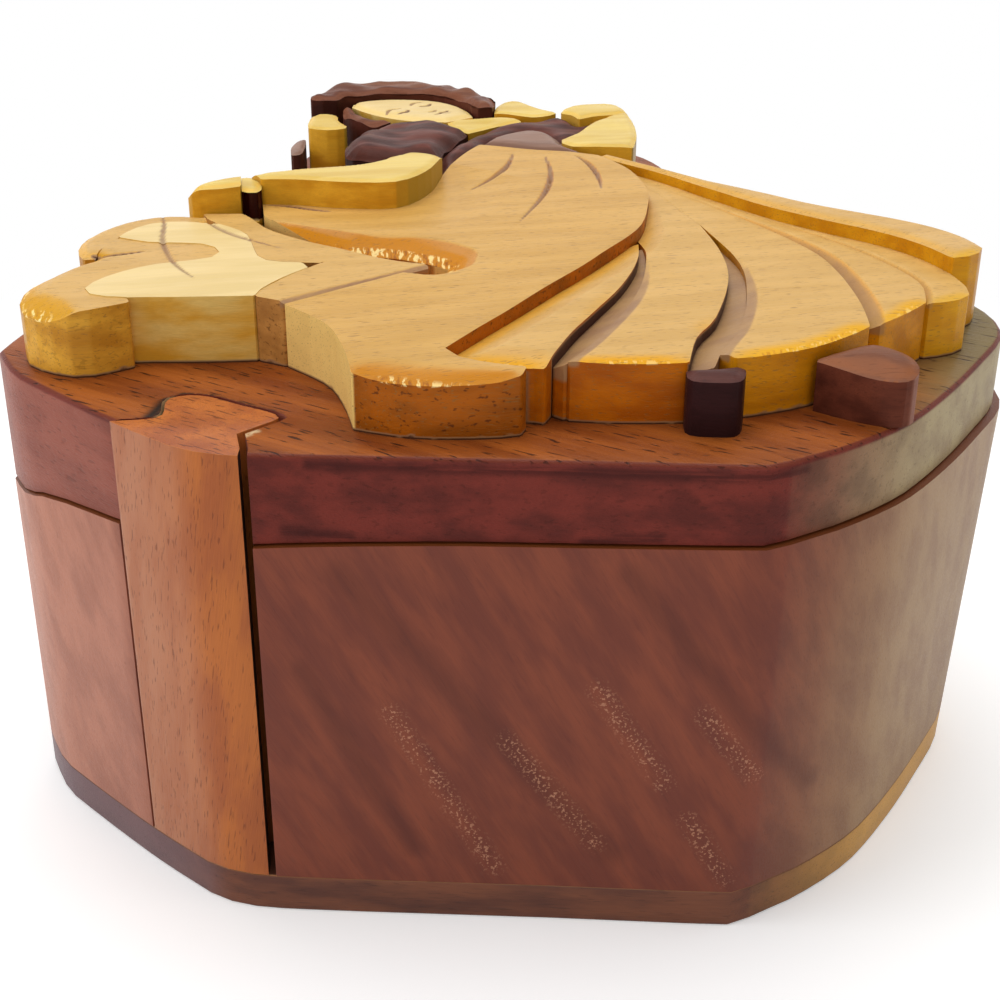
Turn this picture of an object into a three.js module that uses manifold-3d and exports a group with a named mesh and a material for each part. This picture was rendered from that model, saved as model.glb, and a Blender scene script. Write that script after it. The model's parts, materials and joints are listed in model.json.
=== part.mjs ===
import * as THREE from 'three'
import { mergeVertices } from 'three/addons/utils/BufferGeometryUtils.js'
import Module from 'manifold-3d'

const wasm = await Module()
wasm.setup()

// sizes in mm, +Z up, front of the box towards -Y
const boxWidth = 126.6
const boxDepth = 148.4
const boxHeight = 60
const baseThickness = 5
const wallThickness = 8
const keyBacking = 6
const footSetback = 2.6
const lidSetback = 1.3
const lidShiftY = 0.5
const slideClearance = 0.3
const keyClearance = 0.35
const keySideGap = 0.9
const feltThickness = 1.2
const feltMargin = 0.4
const lidEdgeRound = 0.8

// heights of the carved pieces above the lid
const skirtHeight = 7.5
const skirtRise = 0.9
const mainPanelRise = 2.6
const panelFLift = 1.7
const foldHeight = 8.9
const hemHeight = 8.2
const petticoatHeight = hemHeight + 0.3
const grooveBedHeight = 4
const shoeHeight = 7
const bodiceHeight = skirtHeight + 2.7
const armHeight = 12.3
const rightArmHeight = 10.7
const handHeight = armHeight
const headHeight = 10
const hairHeight = 12
const trimHeight = 9.6
const ribbonHeight = 6

const pieceGap = 0.3
const edgeRound = 0.9
const mainPanelRound = 1.2
const softEdgeRound = 1.6
const roundSteps = 3

const mahogany = 0x7a4233
const keyWood = 0xa5613a
const lidWood = 0x8a4a20
const darkWood = 0x33201d
const shoeWood = 0x4a2c2c
const hairWood = 0x6b4438
const sashWood = 0xa08478
const honeyWood = 0xe0bb7c
const amberWood = 0xc98a3a
const creamWood = 0xecd9a4
const yellowWood = 0xe4cf90
const felt = 0x2c2a2a

// the traced pattern, drawn for a box of this width and depth about this centre
const patternWidth = 126.6
const patternDepth = 148.4
const patternCentreX = 1.2

const boxOutline = [
  [-62, -40.8], [-58.6, -47.4], [-54.2, -52.2], [-44.4, -61.6], [-37.6, -67.4], [-34.6, -69.6],
  [-30, -71.2], [-20, -72], [4, -73.1], [24, -74.2], [28.6, -74.1], [31.4, -72.4], [36.6, -69.4],
  [43.2, -64.2], [47.6, -59.4], [53.4, -51.4], [58.5, -43.4], [63.2, -35.4], [64.6, -29.6],
  [63.8, -23.6], [60.4, -15], [54, -4], [43, 9], [33.5, 22], [29, 36], [28, 50], [22, 61.4],
  [9, 67.2], [-6, 71.8], [-19, 73.8], [-29, 70.6], [-33.5, 64], [-35.2, 56], [-36.8, 49],
  [-38.5, 36], [-42, 22], [-47, 8], [-53.5, -8], [-57.5, -20], [-59.6, -29], [-61.2, -35.7]
]

// the sawn seam between body and lid, as x and the depth below the lid's top
const seamProfile = [
  [-75, -19], [-61, -16.5], [-54, -14], [-42, -12.2], [-26, -10.5], [-8, -9.7], [10, -9.5],
  [28, -9.2], [43, -9], [53, -9.1], [75, -9.5]
]

// plan of the key: a knob at the back on a narrow neck, running out past the front face
const keyKnob = [
  [-29.2, -65.6], [-27, -63.3], [-25.2, -61.2], [-26.4, -59.6], [-30.3, -57.3], [-34, -55],
  [-36.8, -54.7], [-38.5, -56.2], [-38.2, -60.2], [-39.4, -61.5], [-43.6, -62.2]
]
const keyFront = [[-50, -67.4], [-42, -80], [-28.1, -78], [-28.3, -69.5]]

// seam lines that two neighbouring carved pieces share
const petticoatFrontSeam = [[-29.7, -44], [-29.2, -41.4], [-26.8, -36.6], [-23.2, -31.4]]
const petticoatBackSeam = [
  [-23.2, -31.4], [-28.6, -30.9], [-31.2, -29], [-32.8, -23.6], [-34, -19.4], [-36.2, -16.3], [-38.8, -14]
]
const petticoatTopSeam = [[-38.8, -14], [-44.6, -13.2], [-47.8, -14.3], [-49.8, -17.3], [-50.8, -20.6]]
const petticoatHemSeam = [
  [-50.8, -20.6], [-46, -22.6], [-42.4, -22.9], [-38.8, -23.6], [-36.7, -26.2], [-37.2, -29.2],
  [-40.6, -31.1], [-44.3, -32.8], [-48.2, -36.5], [-50.2, -40.6], [-49.5, -43.4], [-46.4, -44.8],
  [-42.3, -44.6]
]
const hemSeam = [[-52.6, -30], [-51.8, -25], [-50.8, -20.6]]
const hemFoldSeam = [[-41.6, -9.4], [-40.4, -12], [-38.8, -14]]
const foldStep = [[-26.1, -45.9], [-20.2, -41], [-13.8, -35.8], [-9.4, -32]]
const hollowFrontLip = [
  [-9.4, -32], [-13.2, -30.6], [-17.6, -28], [-21.9, -24.8], [-26.7, -21.2], [-31.6, -16.6], [-34.6, -11.4]
]
const hollowBackLip = [
  [-9.4, -32], [-7.2, -29.6], [-7.8, -27.4], [-10.9, -25.6], [-13.4, -24.2], [-18, -23],
  [-20.6, -22.8], [-23.8, -20.4], [-28.8, -16], [-32.4, -12.4], [-33.4, -8.4]
]
const armSeam = [[-34.1, -4], [-29.1, -4.2], [-22, -5.6], [-15.1, -5.3], [-11.1, 1.1], [-9.3, 9.6]]
const wristSeam = [[-37.4, -0.8], [-36.9, -4], [-36.4, -7.2]]
const cuffSeam = [[-35.6, 0.6], [-35.9, -1.7], [-34.1, -4]]
const waistSeam = [[-4, 24.6], [0.5, 23.2], [5, 21.6], [9.6, 20.7], [14.1, 18.9]]
const bodiceSideSeam = [[-9.3, 9.6], [-6.4, 19], [-4, 24.6]]
const mainSeam = [
  [14.1, 18.9], [18.2, 11.7], [20.1, 1.4], [19.7, -6.5], [17.6, -17], [11.6, -28.3],
  [4.9, -39.6], [-1.1, -49.8], [-6.8, -59.4]
]
const firstGrooveLeft = [[4.9, -61], [7.4, -53.6], [10.6, -46.1], [14, -38], [16.6, -28.5], [17.6, -17]]
const firstGrooveRight = [[6.3, -62.2], [10.1, -54.7], [14.2, -44.3], [16.8, -34.8], [18, -24.4], [17.6, -17]]
const secondGrooveLeft = [[19.6, -62.6], [21.3, -55], [24.4, -47.8], [27.3, -35], [27.6, -24], [26.2, -12.4]]
const secondGrooveRight = [
  [22.4, -62], [23.9, -57.8], [26.5, -51.2], [28.8, -40.5], [29.5, -28.5], [26.2, -12.4]
]
const secondGrooveTail = [[26.2, -12.4], [24, -5.2], [21.9, 2.6], [18, 12.6]]
const thirdSeam = [
  [41.4, -51.2], [41.8, -43], [41.3, -32.8], [39.7, -24.6], [35.6, -15.4], [29.8, -5], [24, 4.2], [17, 14]
]
const fourthSeam = [
  [49.8, -42.8], [50.6, -36.6], [48.7, -30], [45.4, -23.2], [42.1, -18.2], [38.3, -13.4], [31.4, -4.4],
  [24.8, 5], [16, 16.2]
]
const fifthSeam = [
  [55.3, -32.4], [53.6, -28], [51.2, -23.8], [47.8, -20], [42.4, -15.4], [36, -8.8], [29.4, -0.2],
  [23.2, 8.6], [14.1, 18.9]
]
const sleeveSeam = [[-6, 36.2], [-7.2, 31], [-9.4, 24], [-9.8, 18.4]]
const sashSeam = [[-4, 24.6], [-1.6, 30.4], [3.7, 34.6], [7.2, 32], [8.9, 27.6]]
const foreArmSeam = [[17.6, 45], [14.8, 39.4], [12, 33], [8.9, 27.6]]
const sashSideSeam = [[14.1, 18.9], [11.4, 21.6], [9.2, 24.4], [8.9, 27.6]]
const neckSeam = [[4.6, 45.4], [-1.2, 41], [-6, 36.2]]
const shoulderSeam = [[12.2, 42.6], [11.2, 45.2], [9.4, 47]]
const chinSeam = [[-9.6, 43.4], [-5.4, 47.2]]
const elbowSeam = [[20.4, 46.6], [17.6, 45]]

const point = ([x, y]) => new THREE.Vector2(
  (x - patternCentreX) * boxWidth / patternWidth,
  y * boxDepth / patternDepth
)
const reversed = (points) => [...points].reverse()

function curve(points, spacing = 2.4) {
  const line = new THREE.SplineCurve(points.map(point))
  return line.getSpacedPoints(Math.max(1, Math.round(line.getLength() / spacing)))
}

// one closed outline from lines that meet end to end, running anticlockwise
function outlineOf(...lines) {
  const all = lines.flat()
  const loop = all.filter((corner, i) => corner.distanceTo(all.at(i - 1)) > 0.05)
  return THREE.ShapeUtils.area(loop) > 0 ? loop : loop.reverse()
}

function distanceToEdge(corner, from, to) {
  const edge = to.clone().sub(from)
  const along = THREE.MathUtils.clamp(corner.clone().sub(from).dot(edge) / edge.lengthSq(), 0, 1)
  return corner.distanceTo(from.clone().addScaledVector(edge, along))
}

function distanceToOutline(corner, outline) {
  const next = (i) => outline[(i + 1) % outline.length]
  return Math.min(...outline.map((from, i) => distanceToEdge(corner, from, next(i))))
}

// which way each corner moves when the outline shrinks by one
function inwardDirections(outline) {
  return outline.map((corner, i) => {
    const before = corner.clone().sub(outline.at(i - 1)).normalize()
    const after = outline[(i + 1) % outline.length].clone().sub(corner).normalize()
    const inward = new THREE.Vector2(-before.y - after.y, before.x + after.x).normalize()
    const lean = Math.max(0.5, inward.x * -after.y + inward.y * after.x)
    return inward.divideScalar(lean)
  })
}

// the outline moved inwards by a distance, or outwards where it is negative
function shrink(outline, distance) {
  const directions = inwardDirections(outline)
  const moved = outline.map((corner, i) => corner.clone().addScaledVector(directions[i], distance))
  return moved.filter((corner) => distanceToOutline(corner, outline) > Math.abs(distance) * 0.97)
}

// how far it is from each corner straight across the outline to its other side
function widthsAcross(outline, directions) {
  return outline.map((corner, i) => {
    const ray = directions[i].clone().normalize()
    let nearest = Infinity
    outline.forEach((from, j) => {
      const to = outline[(j + 1) % outline.length]
      const edge = to.clone().sub(from)
      const cross = ray.cross(edge)
      if (Math.abs(cross) < 1e-9) return
      const offset = from.clone().sub(corner)
      const distance = offset.cross(edge) / cross
      const along = offset.cross(ray) / cross
      if (distance > 0.01 && along >= 0 && along <= 1) nearest = Math.min(nearest, distance)
    })
    return nearest
  })
}

// the edge radius at each corner, smaller where the piece is narrow
function edgeRadii(outline, directions, round) {
  const widths = widthsAcross(outline, directions)
  const limited = widths.map((width) => Math.min(round, width * 0.3))
  const count = limited.length
  return limited.map((radius, i) => Math.min(
    radius,
    (limited[(i + count - 1) % count] + radius + limited[(i + 1) % count]) / 3
  ))
}

function meshFrom(geometry, name, color) {
  geometry.computeVertexNormals()
  const mesh = new THREE.Mesh(geometry, new THREE.MeshStandardMaterial({ color, roughness: 0.45 }))
  mesh.name = name
  return mesh
}

// upright slab with its top edge rounded over; the top climbs by rise from front to back
function roundedSlab(outline, bottom, height, round, rise = 0) {
  const directions = inwardDirections(outline)
  const radii = edgeRadii(outline, directions, round)
  const front = Math.min(...outline.map(({ y }) => y))
  const back = Math.max(...outline.map(({ y }) => y))
  const levels = Array.from({ length: roundSteps + 1 }, (_, k) => (k * Math.PI) / 2 / roundSteps)
  const ring = (inset, level) => outline.map((corner, i) => {
    const { x, y } = corner.clone().addScaledVector(directions[i], inset(radii[i]))
    const climb = 1 + (rise / height) * (y - front) / (back - front)
    return [x, y, bottom + level(radii[i]) * climb]
  })
  const rings = [ring(() => 0, () => 0)].concat(levels.map((turn) => ring(
    (radius) => radius * (1 - Math.cos(turn)),
    (radius) => height - radius + radius * Math.sin(turn)
  )))
  const count = outline.length
  const last = (rings.length - 1) * count
  const faces = THREE.ShapeUtils.triangulateShape(outline, []).flatMap(([a, b, c]) => (
    [a, c, b, last + a, last + b, last + c]
  ))
  for (let low = 0; low < last; low += count) {
    for (let i = 0; i < count; i++) {
      const next = (i + 1) % count
      faces.push(low + i, low + next, low + count + i)
      faces.push(low + next, low + count + next, low + count + i)
    }
  }
  const geometry = new THREE.BufferGeometry()
  geometry.setAttribute('position', new THREE.Float32BufferAttribute(rings.flat(2), 3))
  geometry.setIndex(faces)
  return geometry
}

function prism(outline, bottom, top) {
  const settings = { depth: top - bottom, bevelEnabled: false }
  return new THREE.ExtrudeGeometry(new THREE.Shape(outline), settings).translate(0, 0, bottom)
}

function solid(geometry) {
  const bare = geometry.clone()
  bare.deleteAttribute('normal')
  bare.deleteAttribute('uv')
  const merged = mergeVertices(bare, 1e-4)
  return new wasm.Manifold(new wasm.Mesh({
    numProp: 3,
    vertProperties: merged.attributes.position.array,
    triVerts: Uint32Array.from(merged.index.array)
  }))
}

function geometryOf(body) {
  const { vertProperties, triVerts } = body.getMesh()
  const geometry = new THREE.BufferGeometry()
  geometry.setAttribute('position', new THREE.BufferAttribute(vertProperties, 3))
  geometry.setIndex(new THREE.BufferAttribute(triVerts, 1))
  return geometry
}

// a carved piece stands on the lid, a sawn joint apart from its neighbours
function carved(name, outline, color, { height, rise = 0, round = edgeRound }) {
  return meshFrom(roundedSlab(shrink(outline, pieceGap / 2), boxHeight, height, round, rise), name, color)
}

const boxLoop = outlineOf(curve([...boxOutline, boxOutline[0]], 3.2))
const rightEnd = Math.max(...boxLoop.map(({ x }) => x))
const setBack = (x, amount) => (x > 0 ? x * (1 - amount / rightEnd) : x)
const lidLoop = boxLoop.map(({ x, y }) => new THREE.Vector2(setBack(x, lidSetback), y + lidShiftY))
const keyLoop = outlineOf(curve(keyKnob, 1.2), keyFront.map(point))

// everything below the sawn seam, or above it
function seamSolid(depth, side) {
  const seam = seamProfile.map(([x, y]) => new THREE.Vector2(point([x, 0]).x, boxHeight + y - depth))
  const line = new THREE.SplineCurve(seam).getSpacedPoints(38)
  const limit = boxHeight / 2 + side * boxHeight
  const ends = [line.at(-1), line[0]].map(({ x }) => new THREE.Vector2(x, limit))
  const profile = outlineOf(line, ends)
  const length = 3 * boxHeight
  const block = new THREE.ExtrudeGeometry(new THREE.Shape(profile), { depth: length, bevelEnabled: false })
  return solid(block.rotateX(Math.PI / 2).translate(0, length / 2, 0))
}

function keySlot(bottom, top) {
  const shifted = keyLoop.map(({ x, y }) => new THREE.Vector2(x + keySideGap, y))
  return solid(prism(shrink(keyLoop, -keyClearance), bottom, top)).add(solid(prism(shifted, bottom, top)))
}

function cavity(bottom, top, margin) {
  const hollow = solid(prism(shrink(boxLoop, wallThickness + margin), bottom, top))
  const backing = shrink(keyLoop, -keyClearance - keyBacking - margin)
  return hollow.subtract(solid(prism(backing, bottom - 1, top + 1)))
}

// the box's right-hand side leans out from its foot upwards
function leaning(geometry) {
  const places = geometry.attributes.position
  for (let i = 0; i < places.count; i++) {
    const amount = footSetback * (1 - places.getZ(i) / boxHeight)
    places.setX(i, setBack(places.getX(i), amount))
  }
  return geometry
}

function basePlate() {
  return meshFrom(leaning(prism(boxLoop, 0, baseThickness)), 'base_plate', mahogany)
}

function boxBody() {
  const body = solid(prism(boxLoop, baseThickness, boxHeight))
    .subtract(cavity(baseThickness - 1, boxHeight + 1, 0))
    .subtract(keySlot(baseThickness - 1, boxHeight + 1))
    .subtract(seamSolid(slideClearance, 1))
  return meshFrom(leaning(geometryOf(body)), 'box_body', mahogany)
}

function feltFloor() {
  const sheet = cavity(baseThickness, baseThickness + feltThickness, feltMargin)
  return meshFrom(leaning(geometryOf(sheet)), 'felt_floor', felt)
}

function key() {
  const bar = solid(prism(keyLoop, baseThickness, boxHeight))
  return meshFrom(geometryOf(bar.intersect(solid(prism(boxLoop, 0, boxHeight)))), 'key', keyWood)
}

function lidBoard() {
  const block = solid(roundedSlab(lidLoop, 0, boxHeight, lidEdgeRound))
  const board = block.subtract(keySlot(-1, boxHeight + 1)).subtract(seamSolid(0, -1))
  return meshFrom(geometryOf(board), 'lid_board', lidWood)
}

function hemFront() {
  const edge = curve([
    [-42.3, -44.6], [-45, -47], [-49.5, -49.6], [-54.1, -48], [-57.4, -44.6], [-57.6, -39.6],
    [-55.4, -34.2], [-52.6, -30]
  ])
  const outline = outlineOf(edge, curve(hemSeam), curve(petticoatHemSeam))
  return carved('hem_front', outline, honeyWood, { height: hemHeight })
}

function hemBack() {
  const edge = curve([
    [-52.6, -30], [-55.2, -24.6], [-55.2, -18.6], [-52.4, -13], [-48.6, -9.6], [-45, -8.6], [-41.6, -9.4]
  ])
  const outline = outlineOf(edge, curve(hemFoldSeam), curve(petticoatTopSeam), reversed(curve(hemSeam)))
  return carved('hem_back', outline, honeyWood, { height: hemHeight })
}

function petticoat() {
  const front = curve([[-42.3, -44.6], [-36, -44.5], [-29.7, -44]])
  const seams = [petticoatFrontSeam, petticoatBackSeam, petticoatTopSeam, petticoatHemSeam]
  const outline = outlineOf(...seams.map((seam) => curve(seam)), front)
  return carved('petticoat', outline, creamWood, { height: petticoatHeight, round: edgeRound / 2 })
}

function skirtFold() {
  const outline = outlineOf(
    curve(petticoatFrontSeam), curve(petticoatBackSeam), reversed(curve(hemFoldSeam)),
    curve([[-41.6, -9.4], [-38.6, -9.2], [-36, -9.2], [-34.6, -11.4]]),
    reversed(curve(hollowFrontLip)), reversed(curve(foldStep)), curve([[-26.1, -45.9], [-29.7, -44]])
  )
  return carved('skirt_fold', outline, honeyWood, { height: foldHeight })
}

function hollowBed() {
  const mouth = curve([[-34.6, -11.4], [-34.8, -9.6], [-33.4, -8.4]])
  const outline = outlineOf(curve(hollowFrontLip), mouth, reversed(curve(hollowBackLip)))
  return carved('hollow_bed', outline, amberWood, { height: grooveBedHeight, round: edgeRound / 4 })
}

function skirtMain() {
  const outline = outlineOf(
    reversed(curve(mainSeam)), reversed(curve(waistSeam)), reversed(curve(bodiceSideSeam)),
    reversed(curve(armSeam)), curve([[-34.1, -4], [-33.4, -8.4]]), reversed(curve(hollowBackLip)),
    reversed(curve(foldStep)), curve([[-26.1, -45.9], [-20.7, -52], [-18.2, -58.5], [-16.7, -64.8]]),
    curve([[-16.7, -64.8], [-11.8, -66.6], [-7.4, -67.2], [-1, -66.9], [2.2, -65.8], [2.1, -64.4]]),
    curve([[2.1, -64.4], [-4.5, -62.2], [-6.8, -59.4]])
  )
  const heights = { height: skirtHeight, rise: mainPanelRise, round: mainPanelRound }
  return carved('skirt_main', outline, honeyWood, heights)
}

function skirtPanel(letter, lines, lift = 0) {
  const outline = outlineOf(...lines)
  return carved(`skirt_panel_${letter}`, outline, honeyWood, { height: skirtHeight + lift, rise: skirtRise })
}

function skirtPanels() {
  const mainSide = curve(mainSeam)
  const lowerEnd = point(firstGrooveLeft.at(-1)).y
  const lowerSide = mainSide.slice(mainSide.findIndex(({ y }) => y < lowerEnd))
  const upperSide = mainSide.filter(({ y }) => y > lowerSide[0].y && y < point(secondGrooveTail.at(-1)).y)
  return [
    skirtPanel('a', [lowerSide, curve([[-6.8, -59.4], [-3.6, -61.6], [2.9, -62.8]]),
      curve([[2.9, -62.8], [3.6, -64], [4.9, -61]]), curve(firstGrooveLeft)]),
    skirtPanel('b', [curve([[6.3, -62.2], [12, -62.8], [19.6, -62.6]]), curve(secondGrooveLeft),
      curve(secondGrooveTail), upperSide, reversed(curve(firstGrooveRight))]),
    skirtPanel('c', [curve([[22.4, -62], [26.2, -61], [32.5, -58.4], [36.6, -55.6], [41.4, -51.2]]),
      curve(thirdSeam), reversed(curve(secondGrooveTail)), reversed(curve(secondGrooveRight))]),
    skirtPanel('d', [curve([[41.4, -51.2], [45.6, -47.4], [49.8, -42.8]]), curve(fourthSeam),
      reversed(curve(thirdSeam))]),
    skirtPanel('e', [curve([[49.8, -42.8], [53.2, -41.6], [56, -39], [55.3, -32.4]]), curve(fifthSeam),
      reversed(curve(fourthSeam))]),
    skirtPanel('f', [curve([[55.3, -32.4], [58.4, -31.4], [60.2, -28]]),
      curve([[60.2, -28], [58.8, -22.6], [54.2, -17], [43.4, -9], [37, -2.8], [29.6, 4.2]]),
      curve([[29.6, 4.2], [21.4, 13.6], [14.1, 21.6]]),
      curve([[14.1, 21.6], [14.1, 18.9]]), reversed(curve(fifthSeam))], panelFLift)
  ]
}

function grooveBed(name, left, right) {
  const outline = outlineOf(curve(left), reversed(curve(right)))
  return carved(name, outline, darkWood, { height: grooveBedHeight, round: edgeRound / 4 })
}

function shoes() {
  const left = outlineOf(curve([
    [19.2, -62.9], [19.4, -65.6], [22, -66.3], [24.8, -65.9], [25.6, -62], [22.6, -62.5], [19.2, -62.9]
  ], 1))
  const right = outlineOf(curve([
    [33.8, -58.6], [38.6, -62.2], [42.4, -63.6], [44.8, -61.6], [44.2, -57], [41, -54.4], [37.4, -56.4],
    [33.8, -58.6]
  ], 1.2))
  return [carved('shoe_left', left, shoeWood, { height: shoeHeight }),
    carved('shoe_right', right, shoeWood, { height: shoeHeight })]
}

function sash() {
  const outline = outlineOf(curve(waistSeam), curve(sashSideSeam), reversed(curve(sashSeam)))
  return carved('sash', outline, sashWood, { height: trimHeight })
}

function bodice() {
  const outline = outlineOf(
    curve(bodiceSideSeam), curve(sashSeam), reversed(curve(foreArmSeam)),
    curve([[17.6, 45], [15, 44.2], [12.2, 42.6]]), curve(shoulderSeam),
    curve([[9.4, 47], [7, 46.6], [4.6, 45.4]]), curve(neckSeam), curve(sleeveSeam),
    curve([[-9.8, 18.4], [-9.6, 14], [-9.3, 9.6]])
  )
  return carved('bodice', outline, darkWood, { height: bodiceHeight })
}

function sleeveLeft() {
  const puff = curve([
    [-9.8, 18.4], [-14, 19.6], [-20, 18], [-24.4, 20.6], [-24.8, 28.6], [-22.8, 37.4], [-18, 41.8],
    [-11.3, 42.2], [-6, 36.2]
  ])
  const outline = outlineOf(curve(sleeveSeam), puff)
  return carved('sleeve_left', outline, darkWood, { height: bodiceHeight + edgeRound, round: softEdgeRound })
}

function armLeft() {
  const back = curve([
    [-9.3, 9.6], [-10.2, 14], [-13.2, 17.2], [-16.6, 16.2], [-18.4, 12.2], [-23, 8.9], [-29.9, 4.6],
    [-35.6, 0.6]
  ])
  const outline = outlineOf(back, curve(cuffSeam), curve(armSeam))
  return carved('arm_left', outline, yellowWood, { height: armHeight, round: softEdgeRound })
}

function cuffLeft() {
  const outline = outlineOf(
    curve(wristSeam, 1.2), curve([[-36.4, -7.2], [-34.8, -8.2], [-33.8, -6.8], [-34.1, -4]], 1.2),
    reversed(curve(cuffSeam, 1.2)), curve([[-35.6, 0.6], [-37.4, -0.8]], 1.2)
  )
  return carved('cuff_left', outline, darkWood, { height: rightArmHeight })
}

function handLeft() {
  const fingers = curve([
    [-37.4, -0.8], [-41, -3.2], [-43.4, -6.2], [-43.8, -7.8], [-42, -8.8], [-39.2, -8.6], [-36.4, -7.2]
  ], 1.2)
  const outline = outlineOf(reversed(curve(wristSeam, 1.2)), fingers)
  return carved('hand_left', outline, yellowWood, { height: handHeight, round: softEdgeRound })
}

function armRightUpper() {
  const outline = outlineOf(
    curve(shoulderSeam), curve([[9.4, 47], [11, 51], [15.6, 53.8], [19, 53.4], [20.4, 46.6]]),
    curve(elbowSeam), curve([[17.6, 45], [15, 44.2], [12.2, 42.6]])
  )
  return carved('arm_right_upper', outline, yellowWood, { height: rightArmHeight })
}

function armRightFore() {
  const outline = outlineOf(
    curve(elbowSeam), curve(foreArmSeam), curve([[8.9, 27.6], [9.2, 24.4], [13, 23], [19.8, 22.4]]),
    curve([[19.8, 22.4], [20.9, 30], [21, 38], [20.4, 46.6]])
  )
  return carved('arm_right_fore', outline, yellowWood, { height: rightArmHeight })
}

function shoulderRight() {
  const outline = outlineOf(curve([
    [-1.8, 48], [-1.4, 53], [0.2, 57.6], [3, 57.4], [5.8, 52], [8.8, 48.4], [4.8, 46.4], [-1.8, 48]
  ], 1.6))
  return carved('shoulder_right', outline, yellowWood, { height: bodiceHeight })
}

function neck() {
  const outline = outlineOf(
    curve(chinSeam), curve([[-5.4, 47.2], [-1.6, 47.2], [4.6, 45.4]]), curve(neckSeam),
    curve([[-6, 36.2], [-8.8, 40.2], [-9.6, 43.4]])
  )
  return carved('neck', outline, yellowWood, { height: trimHeight })
}

function face() {
  const rim = curve([
    [-9.6, 43.4], [-14.6, 43.9], [-19.6, 46.4], [-24, 51], [-26.6, 56.4], [-20, 59.4], [-12, 58.2],
    [-7.2, 53.4], [-5.4, 47.2]
  ])
  const outline = outlineOf(reversed(curve(chinSeam)), rim)
  return carved('face', outline, creamWood, { height: headHeight, round: softEdgeRound })
}

function hair() {
  const crown = curve([
    [-29, 54.6], [-33.4, 54.2], [-32.8, 59], [-29.4, 65], [-23.6, 68], [-15.6, 68.4], [-9.2, 65.6],
    [-4.2, 58.6], [-1.6, 53.4], [-2.2, 48.6]
  ])
  const inside = curve([
    [-2.2, 48.6], [-5, 48.6], [-6.9, 53.6], [-12, 58.9], [-20, 60.1], [-27, 57.4], [-29, 54.6]
  ])
  return carved('hair', outlineOf(crown, inside), hairWood, { height: hairHeight, round: softEdgeRound })
}

function hairLock() {
  const outline = outlineOf(curve([
    [-27.4, 55.6], [-27.6, 50.4], [-25, 45.2], [-21.4, 42.4], [-18.8, 43.4], [-20.4, 45.4],
    [-24.8, 50], [-27.4, 55.6]
  ], 1.4))
  return carved('hair_lock', outline, hairWood, { height: headHeight + edgeRound / 2 })
}

function hairFlower() {
  const outline = outlineOf(curve([
    [-32.4, 39.8], [-32.8, 44], [-32.2, 49], [-28.6, 49], [-28, 45.6], [-26, 40.4], [-29, 39], [-32.4, 39.8]
  ], 1.6))
  return carved('hair_flower', outline, yellowWood, { height: trimHeight })
}

function ribbon() {
  const outline = outlineOf(curve([
    [-34.8, 34.8], [-35.4, 40], [-34.8, 45], [-33.6, 45.8], [-33.2, 36.4], [-34.8, 34.8]
  ], 1.4))
  return carved('ribbon', outline, sashWood, { height: ribbonHeight })
}

const group = new THREE.Group()
group.name = 'puzzle_box'
group.add(basePlate(), boxBody(), feltFloor(), key(), lidBoard())
group.add(hemFront(), hemBack(), petticoat(), skirtFold(), hollowBed(), skirtMain(), ...skirtPanels())
group.add(grooveBed('groove_bed_a', firstGrooveLeft, firstGrooveRight))
group.add(grooveBed('groove_bed_b', secondGrooveLeft, secondGrooveRight))
group.add(...shoes(), sash(), bodice(), sleeveLeft(), armLeft(), cuffLeft(), handLeft())
group.add(armRightUpper(), armRightFore(), shoulderRight(), neck(), face())
group.add(hair(), hairLock(), hairFlower(), ribbon())

export default group
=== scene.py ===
import json
import math

import bpy
import numpy as np
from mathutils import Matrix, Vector, noise
from mathutils.bvhtree import BVHTree

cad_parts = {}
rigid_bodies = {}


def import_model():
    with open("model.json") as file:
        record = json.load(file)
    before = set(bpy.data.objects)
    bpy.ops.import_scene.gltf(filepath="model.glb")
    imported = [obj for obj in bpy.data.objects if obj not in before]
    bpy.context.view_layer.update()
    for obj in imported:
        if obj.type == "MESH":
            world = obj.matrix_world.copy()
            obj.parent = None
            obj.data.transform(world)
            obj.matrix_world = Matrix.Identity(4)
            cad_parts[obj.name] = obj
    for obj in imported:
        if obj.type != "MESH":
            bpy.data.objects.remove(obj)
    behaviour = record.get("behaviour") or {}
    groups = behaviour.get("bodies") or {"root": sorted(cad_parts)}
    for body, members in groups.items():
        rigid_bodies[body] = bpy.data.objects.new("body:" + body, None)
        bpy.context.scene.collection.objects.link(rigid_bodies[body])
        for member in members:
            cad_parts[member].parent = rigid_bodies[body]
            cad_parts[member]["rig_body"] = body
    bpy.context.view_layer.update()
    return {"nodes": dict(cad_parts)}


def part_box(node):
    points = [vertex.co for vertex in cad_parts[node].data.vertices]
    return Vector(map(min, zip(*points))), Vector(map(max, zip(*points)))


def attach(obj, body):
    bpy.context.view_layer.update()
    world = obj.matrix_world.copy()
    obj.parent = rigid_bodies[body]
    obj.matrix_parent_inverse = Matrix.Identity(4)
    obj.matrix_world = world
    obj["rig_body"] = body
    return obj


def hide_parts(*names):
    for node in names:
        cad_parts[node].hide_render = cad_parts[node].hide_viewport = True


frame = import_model()
nodes = frame["nodes"]
mm = 0.001
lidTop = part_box("lid_board")[1].z
rimLevel = lidTop + 1 * mm  # the height at which walls are looked for
tracedShift = 1.2  # the lines traced in plan have their centre this many mm further left
print("frame loaded,", len(nodes), "nodes")


# selecting, welding and shaping

def only(piece):
    bpy.ops.object.select_all(action="DESELECT")
    piece.select_set(True)
    bpy.context.view_layer.objects.active = piece


def applyAll(piece):
    only(piece)
    for modifier in list(piece.modifiers):
        bpy.ops.object.modifier_apply(modifier=modifier.name)


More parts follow.
